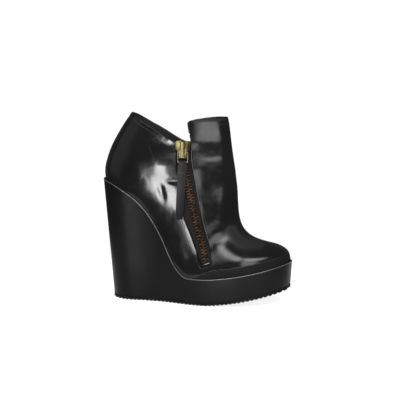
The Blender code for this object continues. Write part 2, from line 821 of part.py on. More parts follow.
def pull_strap(swing):
    bar = RING_DROP
    eye = RING_WIRE + GAP
    fold = eye + PLY
    end = bar + STRAP_LENGTH
    neck_end = bar + RING_WIRE + 2 * GAP + 1.0
    side = [
        (bar - fold, 0.35 * fold, STRAP_NECK_HALF),
        (bar - 0.7 * fold, 0.8 * fold, STRAP_NECK_HALF),
        (bar, fold, STRAP_NECK_HALF),
        (neck_end, 0.9 * fold, STRAP_NECK_HALF),
        (neck_end + 1.2, 0.8 * fold, STRAP_TOP_HALF),
        (bar + 9, PLY, STRAP_TOP_HALF),
        (bar + 0.45 * STRAP_LENGTH, PLY, (STRAP_TOP_HALF + STRAP_END_HALF) / 2),
        (end, PLY, STRAP_END_HALF),
    ]
    loops = []
    for down, half_thick, half in side:
        sway = -STRAP_SWAY_SHARE * (down - bar)
        loops.append([
            swing.at(sway - half, down, -half_thick),
            swing.at(sway + half, down, -half_thick),
            swing.at(sway + half, down, half_thick),
            swing.at(sway - half, down, half_thick),
        ])
    obj = finish("pull_strap", tube(loops, capped=True), (0.015, 0.013, 0.013), 0, 0.45, swing.origin)

    longer = []
    for down in (end - 3, end + REAR_PLY_LONGER):
        sway = -STRAP_SWAY_SHARE * (down - bar)
        half = STRAP_END_HALF - 0.6
        longer.append([
            swing.at(sway - half, down, -PLY + 0.05),
            swing.at(sway + half, down, -PLY + 0.05),
            swing.at(sway + half, down, -0.1),
            swing.at(sway - half, down, -0.1),
        ])
    boolean(obj, helper("strap_rear_ply", tube(longer, capped=True)), "UNION")

    hole = []
    for across in (-STRAP_TOP_HALF - 3, STRAP_TOP_HALF + 3):
        ring = [(math.cos(math.radians(22.5 * n)), math.sin(math.radians(22.5 * n))) for n in range(16)]
        hole.append([swing.at(across, bar + eye * down, eye * out) for down, out in ring])
    boolean(obj, helper("cut_strap_eye", tube(hole, capped=True)), "DIFFERENCE")
    return obj


outsole()
wedge()
insole()
outer = form(0)
side_surface = BVHTree.FromBMesh(outer)
upper(outer)
tape(side_surface, "zip_tape_rear", -1)
tape(side_surface, "zip_tape_front", 1)
teeth(side_surface, "zip_teeth_rear", -1)
teeth(side_surface, "zip_teeth_front", 1)
bottom_stop(side_surface)
slider_frame = Frame(side_surface)
slider(slider_frame)
pull = resting_pull(side_surface, slider_frame)
pull_ring(pull)
pull_strap(pull)
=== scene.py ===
import math
from functools import lru_cache

import bmesh
import bpy
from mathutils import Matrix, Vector
from mathutils.bvhtree import BVHTree


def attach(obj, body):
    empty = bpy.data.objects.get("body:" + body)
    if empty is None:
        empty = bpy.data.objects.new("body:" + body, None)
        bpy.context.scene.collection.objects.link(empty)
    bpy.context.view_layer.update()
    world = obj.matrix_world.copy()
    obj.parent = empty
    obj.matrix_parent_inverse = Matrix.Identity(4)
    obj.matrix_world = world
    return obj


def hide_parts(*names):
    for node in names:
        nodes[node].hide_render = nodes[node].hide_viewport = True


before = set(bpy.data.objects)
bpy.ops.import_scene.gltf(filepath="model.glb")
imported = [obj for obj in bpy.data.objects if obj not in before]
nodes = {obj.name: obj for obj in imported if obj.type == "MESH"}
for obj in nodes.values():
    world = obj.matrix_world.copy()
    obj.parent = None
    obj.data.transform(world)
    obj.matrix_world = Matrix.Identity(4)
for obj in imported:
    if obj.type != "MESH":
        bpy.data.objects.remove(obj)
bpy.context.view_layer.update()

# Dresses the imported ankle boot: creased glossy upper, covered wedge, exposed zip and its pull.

scene = bpy.context.scene
mm = 0.001
print("frame loaded")

# Camera: a long lens, slightly above the boot and a little towards its toe
view = {
    "target": (0.002, 0.00418, 0.108),
    "azimuth": 11.0,
    "elevation": 9.5,
    "distance": 2.6,
    "lens": 200.0,
    "sensor": 36.0,
    "shiftX": 0.00125,
    "shiftY": 0.01725,
    "clipEnd": 20,
}


def towards(azimuth, elevation):
    # direction out of the boot; azimuth 0 is straight out of its outer side
    turn, rise = math.radians(azimuth), math.radians(elevation)
    flat = math.cos(rise)
    return Vector((math.sin(turn) * flat, -math.cos(turn) * flat, math.sin(rise)))


bpy.ops.object.select_all(action="DESELECT")
place = Vector(view["target"]) + towards(view["azimuth"], view["elevation"]) * view["distance"]
tilt = math.radians(90 - view["elevation"])
bpy.ops.object.camera_add(location=place, rotation=(tilt, 0, math.radians(view["azimuth"])))
camera = bpy.context.object
camera.data.sensor_width = view["sensor"]
camera.data.lens = view["lens"]
camera.data.shift_x = view["shiftX"]
camera.data.shift_y = view["shiftY"]
camera.data.clip_end = view["clipEnd"]
scene.camera = camera

# Studio: white floor and air, and soft boxes. A box is given by the directions it fills, seen
# from the boot, its brightness, and the share of it over which it fades out
studio = {
    "floor": 0.26,
    "floorColour": 0.2,
    "floorGlow": 0.85,
    "skySeen": 1.05,
    "skyFelt": 1.3,
    "skyMirrored": 0.10,
    "distance": 4.0,
    "boxes": {
        "leftBox": {
            "azimuths": (-16.7, -3.0), "elevations": (-12.0, 5.6),
            "bright": 36, "soft": 0.12,
        },
        "leftEdge": {
            "azimuths": (-3.0, 6.0), "elevations": (-5.0, 5.0),
            "bright": 4, "soft": 0.3,
        },
        "slotBox": {
            "azimuths": (10.0, 22.0), "elevations": (5.0, 15.0),
            "bright": 8, "soft": 0.8,
        },
        "rightBox": {
            "azimuths": (12.0, 62.0), "elevations": (-12.0, 3.6),
            "bright": 7.5, "soft": 0.45,
        },
        "highRight": {
            "azimuths": (4.0, 48.0), "elevations": (10.0, 52.0),
            "bright": 6, "soft": 0.6,
        },
        "topLeft": {
            "azimuths": (-54.0, 20.0), "elevations": (41.0, 73.0),
            "bright": 12, "soft": 0.8,
        },
        "topRight": {
            "azimuths": (6.0, 72.0), "elevations": (40.0, 66.0),
            "bright": 12, "soft": 0.8,
        },
        "farLeft": {
            "azimuths": (-100.0, -40.0), "elevations": (-6.0, 34.0),
            "bright": 0.45, "soft": 0.6,
        },
        "metalBox": {
            "azimuths": (-36.0, 24.0), "elevations": (-20.0, 44.0),
            "bright": 1.15, "soft": 0.9,
        },
    },
}
scene.view_settings.view_transform = "Standard"
world = bpy.data.worlds.new("studioAir")
scene.world = world
world.use_nodes = True
airNodes, airLinks = world.node_tree.nodes, world.node_tree.links
airNodes.clear()
airOut = airNodes.new("ShaderNodeOutputWorld")
airPath = airNodes.new("ShaderNodeLightPath")
air = airNodes.new("ShaderNodeBackground")
mirrored = airNodes.new("ShaderNodeMix")  # what shines in the boot is darker than the white sweep
mirrored.inputs["A"].default_value = studio["skyFelt"]
mirrored.inputs["B"].default_value = studio["skyMirrored"]
watched = airNodes.new("ShaderNodeMix")
watched.inputs["B"].default_value = studio["skySeen"]
airLinks.new(airPath.outputs["Is Glossy Ray"], mirrored.inputs["Factor"])
airLinks.new(airPath.outputs["Is Camera Ray"], watched.inputs["Factor"])
airLinks.new(mirrored.outputs["Result"], watched.inputs["A"])
airLinks.new(watched.outputs["Result"], air.inputs["Strength"])
airLinks.new(air.outputs["Background"], airOut.inputs["Surface"])
air.inputs["Color"].default_value = (1, 1, 1, 1)


def softenBox(light, soft):
    # the box fades out towards its edges over this share of its half size
    light.use_nodes = True
    tree = light.node_tree
    place = tree.nodes.new("ShaderNodeNewGeometry").outputs["Parametric"]
    split = tree.nodes.new("ShaderNodeSeparateXYZ")
    tree.links.new(place, split.inputs["Vector"])
    fades = []
    for axis in "XY":
        centred = tree.nodes.new("ShaderNodeMath")
        centred.operation = "SUBTRACT"
        centred.inputs[1].default_value = 0.5
        away = tree.nodes.new("ShaderNodeMath")
        away.operation = "ABSOLUTE"
        fade = tree.nodes.new("ShaderNodeMapRange")
        fade.interpolation_type = "SMOOTHSTEP"
        fade.inputs["From Min"].default_value = 0.5 * (1 - soft)
        fade.inputs["From Max"].default_value = 0.5
        fade.inputs["To Min"].default_value = 1
        fade.inputs["To Max"].default_value = 0
        tree.links.new(split.outputs[axis], centred.inputs[0])
        tree.links.new(centred.outputs[0], away.inputs[0])
        tree.links.new(away.outputs[0], fade.inputs["Value"])
        fades.append(fade.outputs["Result"])
    both = tree.nodes.new("ShaderNodeMath")
    both.operation = "MULTIPLY"
    tree.links.new(fades[0], both.inputs[0])
    tree.links.new(fades[1], both.inputs[1])
    tree.links.new(both.outputs[0], tree.nodes["Emission"].inputs["Strength"])


boxes = {}
for name, box in studio["boxes"].items():
    (left, right), (low, high) = box["azimuths"], box["elevations"]
    rise = (low + high) / 2
    direction = towards((left + right) / 2, rise)
    place = Vector(view["target"]) + direction * studio["distance"]
    bpy.ops.object.light_add(type="AREA", location=place)
    light = bpy.context.object
    light.name = name
    light.rotation_euler = direction.to_track_quat("Z", "Y").to_euler()
    light.data.shape = "RECTANGLE"
    across, upright = math.radians(right - left), math.radians(high - low)
    width = 2 * studio["distance"] * math.tan(across / 2) * math.cos(math.radians(rise))
    height = 2 * studio["distance"] * math.tan(upright / 2)
    light.data.size, light.data.size_y = width, height
    light.data.energy = box["bright"] * math.pi * width * height
    softenBox(light.data, box["soft"])
    boxes[name] = light

bpy.ops.mesh.primitive_plane_add(size=studio["floor"] * 2)
floor = bpy.context.object
floor.name = "studioFloor"
print("camera, floor and lights placed")


# Materials

class Paint:
    # a material with its shader and short ways to add nodes

    def __init__(self, name):
        self.material = bpy.data.materials.new(name)
        self.material.use_nodes = True
        self.tree = self.material.node_tree
        self.shader = self.tree.nodes["Principled BSDF"]
        self.coords = self.tree.nodes.new("ShaderNodeTexCoord").outputs["Object"]

    def put(self, socket, value):
        if isinstance(value, tuple):
            value = (*value, 1)
        self.shader.inputs[socket].default_value = value

    def node(self, kind, **settings):
        made = self.tree.nodes.new(kind)
        for key, value in settings.items():
            if hasattr(made, key):
                setattr(made, key, value)
            else:
                made.inputs[key].default_value = value
        return made

    def join(self, source, target):
        self.tree.links.new(source, target)

    def noise(self, scale, detail=3.0, stretch=None):
        texture = self.node("ShaderNodeTexNoise", Scale=scale, Detail=detail)
        self.join(self.stretched(stretch), texture.inputs["Vector"])
        return texture.outputs["Fac"]

    def cells(self, scale):
        texture = self.node("ShaderNodeTexVoronoi", feature="SMOOTH_F1", Scale=scale)
        self.join(self.coords, texture.inputs["Vector"])
        return texture.outputs["Distance"]

    def stretched(self, stretch):
        if stretch is None:
            return self.coords
        mapping = self.node("ShaderNodeMapping")
        mapping.inputs["Scale"].default_value = stretch
        self.join(self.coords, mapping.inputs["Vector"])
        return mapping.outputs["Vector"]

    def ramp(self, source, low, high, start, end):
        # maps a texture between two numbers onto two others
        made = self.node("ShaderNodeMapRange")
        made.inputs["From Min"].default_value = low
        made.inputs["From Max"].default_value = high
        made.inputs["To Min"].default_value = start
        made.inputs["To Max"].default_value = end
        self.join(source, made.inputs["Value"])
        return made.outputs["Result"]

    def tint(self, source, dark, light):
        made = self.node("ShaderNodeMix", data_type="RGBA")
        made.inputs[6].default_value = (*dark, 1)
        made.inputs[7].default_value = (*light, 1)
        self.join(source, made.inputs["Factor"])
        self.join(made.outputs[2], self.shader.inputs["Base Color"])

    def rough(self, source, start, end):
        self.join(self.ramp(source, 0.35, 0.65, start, end), self.shader.inputs["Roughness"])

    def bump(self, *layers):
        # layers of (texture, depth in metres, strength), one over the other
        last = None
        for texture, depth, strength in layers:
            made = self.node("ShaderNodeBump")
            made.inputs["Distance"].default_value = depth
            made.inputs["Strength"].default_value = strength
            self.join(texture, made.inputs["Height"])
            if last:
                self.join(last, made.inputs["Normal"])
            last = made.outputs["Normal"]
        self.join(last, self.shader.inputs["Normal"])


def leatherPaint(name, dark, light, gloss, level, grain, creasing, dull=0.0):
    paint = Paint(name)
    paint.put("Specular IOR Level", level)
    broad = paint.noise(14, 2.0)
    paint.tint(paint.ramp(broad, 0.35, 0.65, 0, 1), dark, light)
    shine = paint.ramp(paint.noise(120, 4.0), 0.35, 0.65, gloss[0], gloss[1])
    if dull:
        worn = paint.node("ShaderNodeAttribute", attribute_name="worn")
        faded = paint.node("ShaderNodeMix")
        faded.inputs["B"].default_value = dull
        paint.join(worn.outputs["Fac"], faded.inputs["Factor"])
        paint.join(shine, faded.inputs["A"])
        shine = faded.outputs["Result"]
    paint.join(shine, paint.shader.inputs["Roughness"])
    pebbles = paint.cells(1500)
    pores = paint.noise(2600, 2.0)
    sag = paint.noise(55, 2.0)
    paint.bump((sag, creasing, 0.35), (pebbles, grain, 0.5), (pores, grain, 0.35))
    return paint.material


def metalPaint(name, dark, light, gloss, scale, depth, stretch=None):
    paint = Paint(name)
    paint.put("Metallic", 1.0)
    paint.tint(paint.ramp(paint.noise(scale, 4.0, stretch), 0.4, 0.62, 0, 1), dark, light)
    paint.rough(paint.noise(scale * 2, 3.0), gloss[0], gloss[1])
    paint.bump((paint.noise(scale * 6, 2.0), depth, 0.4))
    return paint.material


# gloss is the roughness from its smoothest to its roughest spots, grain and creasing are in metres
blackHide = {
    "dark": (0.0026, 0.0025, 0.0025),
    "light": (0.0042, 0.0040, 0.0039),
    "grain": 0.00002,
    "creasing": 0.0006,
}
leathers = {
    "upper": {**blackHide, "gloss": (0.10, 0.16), "level": 0.25, "dull": 1.0},
    "edge": {**blackHide, "gloss": (0.12, 0.18), "level": 0.25},
    "hem": {**blackHide, "gloss": (0.8, 0.9), "level": 0.08},
    # painted highlight: the lip's colours are far lighter than the black hide, so its thin edge
    # shows as a bright line
    "lip": {
        "dark": (0.024, 0.023, 0.023),
        "light": (0.060, 0.058, 0.057),
        "gloss": (0.25, 0.35),
        "level": 0.5,
        "grain": 0.00002,
        "creasing": 0.0004,
    },
    "wedge": {
        "dark": (0.0024, 0.0022, 0.0022),
        "light": (0.0036, 0.0033, 0.0033),
        "gloss": (0.34, 0.44),
        "level": 0.075,
        "grain": 0.00003,
        "creasing": 0.0004,
    },
    "strap": {
        "dark": (0.004, 0.0036, 0.0036),
        "light": (0.0065, 0.0058, 0.0058),
        "gloss": (0.34, 0.46),
        "level": 0.09,
        "grain": 0.00003,
        "creasing": 0.0002,
    },
    "lining": {
        "dark": (0.010, 0.009, 0.009),
        "light": (0.017, 0.015, 0.014),
        "gloss": (0.6, 0.75),
        "level": 0.3,
        "grain": 0.00005,
        "creasing": 0.0003,
    },
}
leather = {name: leatherPaint("leather_" + name, **row) for name, row in leathers.items()}

thread = Paint("thread")
thread.put("Specular IOR Level", 0.35)
blotches = thread.ramp(thread.noise(900), 0.4, 0.6, 0, 1)
thread.tint(blotches, (0.010, 0.0095, 0.0095), (0.022, 0.021, 0.021))
thread.rough(thread.noise(400), 0.45, 0.6)
thread.bump((thread.noise(3000), 0.00004, 0.6))

rubber = Paint("rubber")
rubber.put("Specular IOR Level", 0.08)
blotches = rubber.ramp(rubber.noise(40), 0.4, 0.6, 0, 1)
rubber.tint(blotches, (0.0022, 0.0022, 0.0022), (0.0042, 0.0041, 0.0040))
rubber.rough(rubber.noise(300), 0.62, 0.8)
rubber.bump((rubber.noise(1400, 4.0), 0.00006, 0.6))

weave = Paint("zipTape")
weave.put("Specular IOR Level", 0.08)
warp = weave.node("ShaderNodeTexWave", Scale=420.0, Distortion=1.2)
weave.join(weave.stretched((1.0, 1.0, 0.35)), warp.inputs["Vector"])
weft = weave.node("ShaderNodeTexWave", bands_direction="Z", Scale=420.0, Distortion=1.2)
weave.join(weave.coords, weft.inputs["Vector"])
blotches = weave.ramp(warp.outputs["Fac"], 0.2, 0.8, 0, 1)
weave.tint(blotches, (0.0025, 0.0023, 0.0023), (0.008, 0.0074, 0.0074))
weave.rough(weave.noise(300), 0.75, 0.95)
weave.bump((warp.outputs["Fac"], 0.00015, 0.5), (weft.outputs["Fac"], 0.00015, 0.5))

# a metal's two colours, its roughness, the size of its marks and their depth in metres
metalRows = {
    "brass": ((0.26, 0.20, 0.06), (0.66, 0.56, 0.27), (0.16, 0.28), 620, 0.00003, (1.0, 1.0, 0.12)),
    "paleBrass": ((0.52, 0.47, 0.33), (0.74, 0.70, 0.55), (0.16, 0.26), 160, 0.00002),
    "agedCopper": ((0.085, 0.046, 0.028), (0.32, 0.19, 0.115), (0.32, 0.46), 320, 0.00003),
    # the next row is painted shade: a near-black colour for the bars in the slider's shadowed
    # grooves
    "grooveShade": ((0.020, 0.015, 0.007), (0.045, 0.033, 0.014), (0.4, 0.55), 400, 0.00002),
    "nickel": ((0.62, 0.62, 0.64), (0.82, 0.82, 0.84), (0.16, 0.26), 200, 0.00002),
}
metal = {name: metalPaint(name, *row) for name, row in metalRows.items()}

floorPaint = Paint("floor")
shade = studio["floorColour"]
floorPaint.put("Specular IOR Level", 0.1)
blotches = floorPaint.ramp(floorPaint.noise(1.5), 0.4, 0.6, 0, 1)
floorPaint.tint(blotches, (shade,) * 3, (shade + 0.01,) * 3)
floorPaint.rough(floorPaint.noise(8), 0.7, 0.8)
floorPaint.put("Emission Color", (1.0, 1.0, 1.0))
floorPaint.put("Emission Strength", studio["floorGlow"])
floor.data.materials.append(floorPaint.material)
print("materials mixed")


# Helpers for pieces

def only(obj):
    bpy.ops.object.select_all(action="DESELECT")
    obj.select_set(True)
    bpy.context.view_layer.objects.active = obj


def applyModifiers(obj):
    only(obj)
    for modifier in list(obj.modifiers):
        bpy.ops.object.modifier_apply(modifier=modifier.name)


def copyNode(node, piece, weld=0.00002):
    # a merged copy of a CAD node, to be rounded and smoothed
    copy = bpy.data.objects.new(piece, nodes[node].data.copy())
    scene.collection.objects.link(copy)
    copy.data.materials.clear()
    only(copy)
    bpy.ops.object.mode_set(mode="EDIT")
    bpy.ops.mesh.select_all(action="SELECT")
    bpy.ops.mesh.remove_doubles(threshold=weld)
    bpy.ops.mesh.tris_convert_to_quads()
    bpy.ops.object.mode_set(mode="OBJECT")
    return copy


# radii of rounded edges in millimetres, and the angle in degrees from which an edge is rounded
rounding = {"slider": 0.35, "strap": 0.3, "stop": 0.3, "insole": 0.4, "segments": 2, "angle": 35}


def roundEdges(obj, which):
    only(obj)
    bevel = obj.modifiers.new("rounded", "BEVEL")
    bevel.width = rounding[which] * mm
    bevel.segments = rounding["segments"]
    bevel.limit_method = "ANGLE"
    bevel.angle_limit = math.radians(rounding["angle"])
    applyModifiers(obj)
    bpy.ops.object.shade_smooth_by_angle(angle=math.radians(rounding["angle"]))


def treeOf(mesh):
    # the mesh's faces, ready to be met by rays
    shape = bmesh.new()
    shape.from_mesh(mesh)
    tree = BVHTree.FromBMesh(shape)
    shape.free()
    return tree


def metFromOutside(tree, x, z, start=-90):
    # where a ray from off the boot's outer side meets the faces: x, z and start are in
    # millimetres, the place it meets is in metres
    hit, normal, _, _ = tree.ray_cast(Vector((x, start, z)) * mm, Vector((0, 1, 0)))
    return hit, normal


def settle(obj, body, material, replaced=()):
    if material and not obj.data.materials:
        obj.data.materials.append(material)
    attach(obj, body)
    if replaced:
        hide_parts(*replaced)


# The boot's form, in millimetres: the same rows as its solids are drawn from
form = {
    "length": 224.0,
    "ballWidth": 94.0,
    "height": 218.0,
    "heel": 140.0,
    "platform": 31.0,
    "gap": 0.3,
    "springHeight": 17.0,
    "springStart": 14.0,
    "springPower": 1.45,
    "sideDraft": 0.028,
    "heelRound": 30.0,
    "toeRound": 64.0,
    "lip": 1.8,
    "innerFall": 0.09,
    "firstRing": 14,
    "lastStep": 20,
    "zipBottom": 48.0,
}
outlineRows = (  # share of length, lateral and medial half widths
    (0.00, 0.298, 0.282), (0.19, 0.314, 0.277), (0.30, 0.351, 0.271), (0.39, 0.420, 0.293),
    (0.48, 0.489, 0.340), (0.55, 0.524, 0.394), (0.62, 0.536, 0.431), (0.70, 0.535, 0.447),
    (0.83, 0.519, 0.441), (1.00, 0.489, 0.420),
)
seamRows = (  # share of length, share of the heel's rise
    (0.00, 1.000), (0.045, 0.986), (0.10, 0.938), (0.16, 0.862), (0.205, 0.789), (0.26, 0.670),
    (0.305, 0.535), (0.345, 0.390), (0.38, 0.237), (0.415, 0.110), (0.447, 0.038), (0.48, 0.004),
    (0.52, 0.000),
)
sectionRows = (  # step, foot, ridge, rise, lateral, medial, widest, back, full
    (0, 0.992, 0.992, 0.222, 0.490, 0.415, 0.22, 2.0, 2.3),
    (1, 0.978, 0.979, 0.270, 0.493, 0.418, 0.22, 2.0, 2.3),
    (2, 0.951, 0.952, 0.292, 0.500, 0.424, 0.22, 2.0, 2.3),
    (3, 0.911, 0.913, 0.309, 0.507, 0.431, 0.21, 2.0, 2.2),
    (4, 0.848, 0.853, 0.321, 0.517, 0.439, 0.20, 2.0, 2.1),
    (5, 0.777, 0.795, 0.341, 0.530, 0.446, 0.18, 2.0, 1.9),
    (6, 0.701, 0.757, 0.371, 0.540, 0.446, 0.15, 2.0, 1.6),
    (7, 0.616, 0.734, 0.408, 0.536, 0.430, 0.13, 2.0, 1.35),
    (8, 0.527, 0.721, 0.450, 0.512, 0.385, 0.12, 2.0, 1.25),
    (9, 0.442, 0.716, 0.500, 0.468, 0.340, 0.14, 2.0, 1.28),
    (10, 0.375, 0.714, 0.555, 0.425, 0.322, 0.20, 2.2, 1.45),
    (11, 0.299, 0.711, 0.610, 0.392, 0.322, 0.28, 2.6, 1.7),
    (12, 0.205, 0.705, 0.658, 0.375, 0.325, 0.34, 3.0, 1.9),
    (13, 0.098, 0.700, 0.704, 0.360, 0.325, 0.39, 3.4, 2.0),
    (14, 0.008, 0.693, 0.750, 0.350, 0.322, 0.42, 3.5, 2.1),
    (15, 0.004, 0.686, 0.798, 0.340, 0.318, 0.43, 3.2, 2.1),
    (16, 0.016, 0.679, 0.853, 0.330, 0.313, 0.44, 2.9, 2.1),
    (17, 0.040, 0.673, 0.904, 0.308, 0.292, 0.45, 2.7, 2.1),
    (18, 0.078, 0.667, 0.952, 0.298, 0.278, 0.46, 2.5, 2.1),
    (19, 0.125, 0.658, 0.991, 0.292, 0.268, 0.47, 2.4, 2.1),
    (20, 0.179, 0.638, 1.050, 0.290, 0.262, 0.47, 2.4, 2.1),
)
backRows = (  # step, share of height
    (14, 0.641), (15, 0.690), (16, 0.748), (17, 0.817), (18, 0.890), (19, 0.968), (20, 1.050),
)
toplineRows = (  # share of length, share of height
    (0.118, 1.008), (0.138, 1.006), (0.165, 0.991), (0.192, 0.973), (0.237, 0.944),
    (0.272, 0.925), (0.313, 0.900), (0.348, 0.877), (0.391, 0.852), (0.415, 0.842),
    (0.470, 0.842), (0.487, 0.858), (0.483, 0.880), (0.475, 0.920), (0.470, 0.952),
    (0.474, 0.960), (0.515, 0.972), (0.557, 0.978), (0.603, 0.983), (0.655, 0.985),
    (0.750, 0.984),
)
zipRows = (  # share of height, share of length, leather's edges behind and in front of the chain
    (0.200, 0.593, 4.8, 4.6), (0.235, 0.581, 6.6, 6.8), (0.261, 0.573, 7.6, 7.6),
    (0.321, 0.557, 8.9, 8.0), (0.413, 0.530, 10.9, 8.0), (0.482, 0.511, 12.8, 8.3),
    (0.560, 0.493, 12.4, 8.7), (0.642, 0.476, 11.6, 8.6), (0.766, 0.452, 9.2, 9.2),
    (0.858, 0.446, 8.4, 9.4), (0.920, 0.445, 8.0, 7.0),
)
lateralMost, medialMost = (max(row[side] for row in outlineRows) for side in (1, 2))
midline = (lateralMost - medialMost) / 2 * form["ballWidth"]


@lru_cache(maxsize=None)
def read(rows, column, key):
    # one column of rows at a key of their first column, on a smooth curve that doesn't overshoot
    if key <= rows[0][0]:
        return rows[0][column]
    if key >= rows[-1][0]:
        return rows[-1][column]
    first = max(n for n in range(len(rows) - 1) if rows[n][0] <= key)

    def secant(n):
        return (rows[n + 1][column] - rows[n][column]) / (rows[n + 1][0] - rows[n][0])

    def slope(n):
        if n == 0 or n == len(rows) - 1:
            return secant(min(n, len(rows) - 2))
        before, after = secant(n - 1), secant(n)
        return 0.0 if before * after <= 0 else 2 * before * after / (before + after)

    span = rows[first + 1][0] - rows[first][0]
    t = (key - rows[first][0]) / span
    rise = rows[first + 1][column] - rows[first][column]
    start, end = span * slope(first), span * slope(first + 1)
    bend = 3 * rise - 2 * start - end
    return rows[first][column] + t * start + t * t * bend + t ** 3 * (start + end - 2 * rise)


def endRound(along):
    heel = max(0.0, 1 - along * form["length"] / form["heelRound"])
    toe = max(0.0, 1 - (1 - along) * form["length"] / form["toeRound"])
    return math.sqrt(max(0.0, 1 - heel ** 2)) * math.sqrt(max(0.0, 1 - toe ** 2))


def halfWidth(side, along, height, inset):
    share = read(outlineRows, side, along)
    return (share * form["ballWidth"] + form["sideDraft"] * height - inset) * endRound(along)


def spring(x):
    past = max(0.0, x - form["springStart"]) / (form["length"] / 2 - form["springStart"])
    return form["springHeight"] * past ** form["springPower"]


def seamHeight(x):
    along = min(1.0, max(0.0, x / form["length"] + 0.5))
    rise = read(seamRows, 1, round(along, 5))
    return form["platform"] + (form["heel"] - form["platform"]) * rise + spring(x)


@lru_cache(maxsize=None)
def sectionEnds(step):
    x = (read(sectionRows, 1, step) - 0.5) * form["length"]
    if step >= form["firstRing"]:
        foot = Vector((x, read(backRows, 1, step) * form["height"]))
    else:
        foot = Vector((x, seamHeight(x)))
    ridgeX = (read(sectionRows, 2, step) - 0.5) * form["length"]
    ridge = Vector((ridgeX, read(sectionRows, 3, step) * form["height"]))
    return foot, (foot if step == 0 else ridge)


@lru_cache(maxsize=None)
def sectionShape(step, side):
    # widest half width, how far the foot stands open, and the exponents of the section
    foot, _ = sectionEnds(step)
    tip = form["length"] / 2 - form["lip"]
    toe = max(0.0, 1 - (tip - foot.x) / form["toeRound"])
    narrowing = math.sqrt(max(0.0, 1 - toe ** 2))
    widest = read(sectionRows, 3 + side, step) * form["ballWidth"] * narrowing
    feather = 0.0
    if step < form["firstRing"]:
        along = min(1.0, max(0.0, foot.x / (2 * tip) + 0.5))
        feather = min(widest, halfWidth(side, round(along, 5), seamHeight(foot.x), form["lip"]))
    closing = 1 - (feather / widest) ** 2 if widest > 0 else 1.0
    return widest, closing, [read(sectionRows, column, step) for column in (6, 7, 8)]


skinGrid = {
    "around": 150,
    "along": 176,
    "lowShare": 0.385,  # share of the points that lie below the widest place
    "skirt": 0.045,  # share of the points that hang below the foot, and how far they hang
    "skirtDrop": 3.0,
    "crown": (1.25, 0.3),  # one over the upper exponent: a constant, and its growth with full
    "smoothings": 24,
    "weld": 0.00001,
}


def skinPoint(step, across):
    # across runs from -1 at the lateral foot over 0 at the ridge to 1 at the medial foot
    side = 1 if across < 0 else 2
    foot, ridge = sectionEnds(step)
    widest, closing, (at, back, full) = sectionShape(step, side)
    up = 1 - abs(across)
    drop = 0.0
    if up < skinGrid["skirt"]:
        if step < form["firstRing"]:
            drop = skinGrid["skirtDrop"] * (1 - up / skinGrid["skirt"])
        up = 0.0
    else:
        up = (up - skinGrid["skirt"]) / (1 - skinGrid["skirt"])
    low = skinGrid["lowShare"]
    if up <= low:
        share = at * (1 - math.cos(math.pi / 2 * up / low))
        width = widest * math.sqrt(max(0.0, 1 - closing * (1 - share / at) ** back))
    else:
        share = at + (1 - at) * math.sin(math.pi / 2 * (up - low) / (1 - low))
        above = (share - at) / (1 - at)
        base, more = skinGrid["crown"]
        width = widest * max(0.0, 1 - above ** full) ** (1 / (base + more * full))
    point = foot.lerp(ridge, share)
    y = midline + (-width if side == 1 else width)
    return Vector((point.x, y, point.y - drop)) * mm


# Creases: paths in the side view, a height above zero for a ridge and below for a trough, and
# the width, all in millimetres
creases = {
    "ankleRidge": {
        "path": ((-55, 187), (-50, 178), (-45, 169), (-40, 160)),
        "height": 0.35, "width": 2.6,
    },
    "ankleRoll": {
        "path": ((-64, 159), (-46, 158), (-30, 157), (-14, 157)),
        "height": 1.5, "width": 15.0,
    },
    "arc": {
        "path": ((-34, 146), (-29, 143.5), (-23, 142.5), (-13, 143)),
        "height": -0.5, "width": 2.8,
    },
    "leaf": {
        "path": ((-39, 141), (-36.5, 132), (-33.5, 121)),
        "height": -0.75, "width": 3.2,
    },
    "tailRidge": {
        "path": ((-11, 108), (-6, 97), (-2, 88), (2, 79), (7, 68), (20, 38)),
        "height": 2.6, "width": 12.0,
    },
    "tailEdge": {
        "path": ((-1, 82), (3, 71), (8, 59), (14, 44)),
        "height": 0.75, "width": 8.0,
    },
    "collarLean": {
        "path": ((-86, 219), (-59, 206), (-45, 198), (-35, 192)),
        "height": -0.9, "width": 8.0,
    },
    "counterSide": {
        "path": ((-70, 168), (-66, 157), (-63, 148), (-60, 141)),
        "height": 0.6, "width": 8.5,
    },
    "pucker": {
        "path": ((-33, 194), (-27, 192), (-21, 190)),
        "height": 0.55, "width": 5.5,
    },
    "frontFold": {
        "path": ((-8, 186), (8, 185.5), (25, 186), (40, 189)),
        "height": -0.5, "width": 7.5,
    },
    "frontRoll": {
        "path": ((4, 170.5), (17, 170), (29, 171), (39, 173)),
        "height": 0.14, "width": 3.5,
    },
    "shinBelly": {
        "path": ((1, 99), (12, 98), (24, 96), (34, 95), (45, 94)),
        "height": 2.1, "width": 20.0,
    },
    "vampRidge": {
        "path": ((16, 96), (23, 78), (35, 65), (52, 59), (74, 57)),
        "height": 0.9, "width": 9.0,
    },
}
innerCreases = {
    "innerFoldHigh": {
        "path": ((-20, 176), (-4, 172), (14, 175), (30, 181)),
        "height": -0.8, "width": 4.0,
    },
    "innerRoll": {
        "path": ((-18, 166), (0, 162), (18, 166), (34, 172)),
        "height": 0.8, "width": 4.2,
    },
    "innerHeel": {
        "path": ((-58, 184), (-46, 170), (-34, 154)),
        "height": -0.6, "width": 5.0,
    },
}


def pathDistance(x, z, path):
    # distance to a path, and how far along it the nearest place lies, from 0 to 1
    best, where, walked = 1e9, 0.0, 0.0
    total = sum(math.dist(a, b) for a, b in zip(path, path[1:]))
    for (ax, az), (bx, bz) in zip(path, path[1:]):
        span = math.dist((ax, az), (bx, bz))
        t = ((x - ax) * (bx - ax) + (z - az) * (bz - az)) / span ** 2
        t = min(1.0, max(0.0, t))
        away = math.hypot(x - ax - t * (bx - ax), z - az - t * (bz - az))
        if away < best:
            best, where = away, (walked + t * span) / total
        walked += span
    return best, where


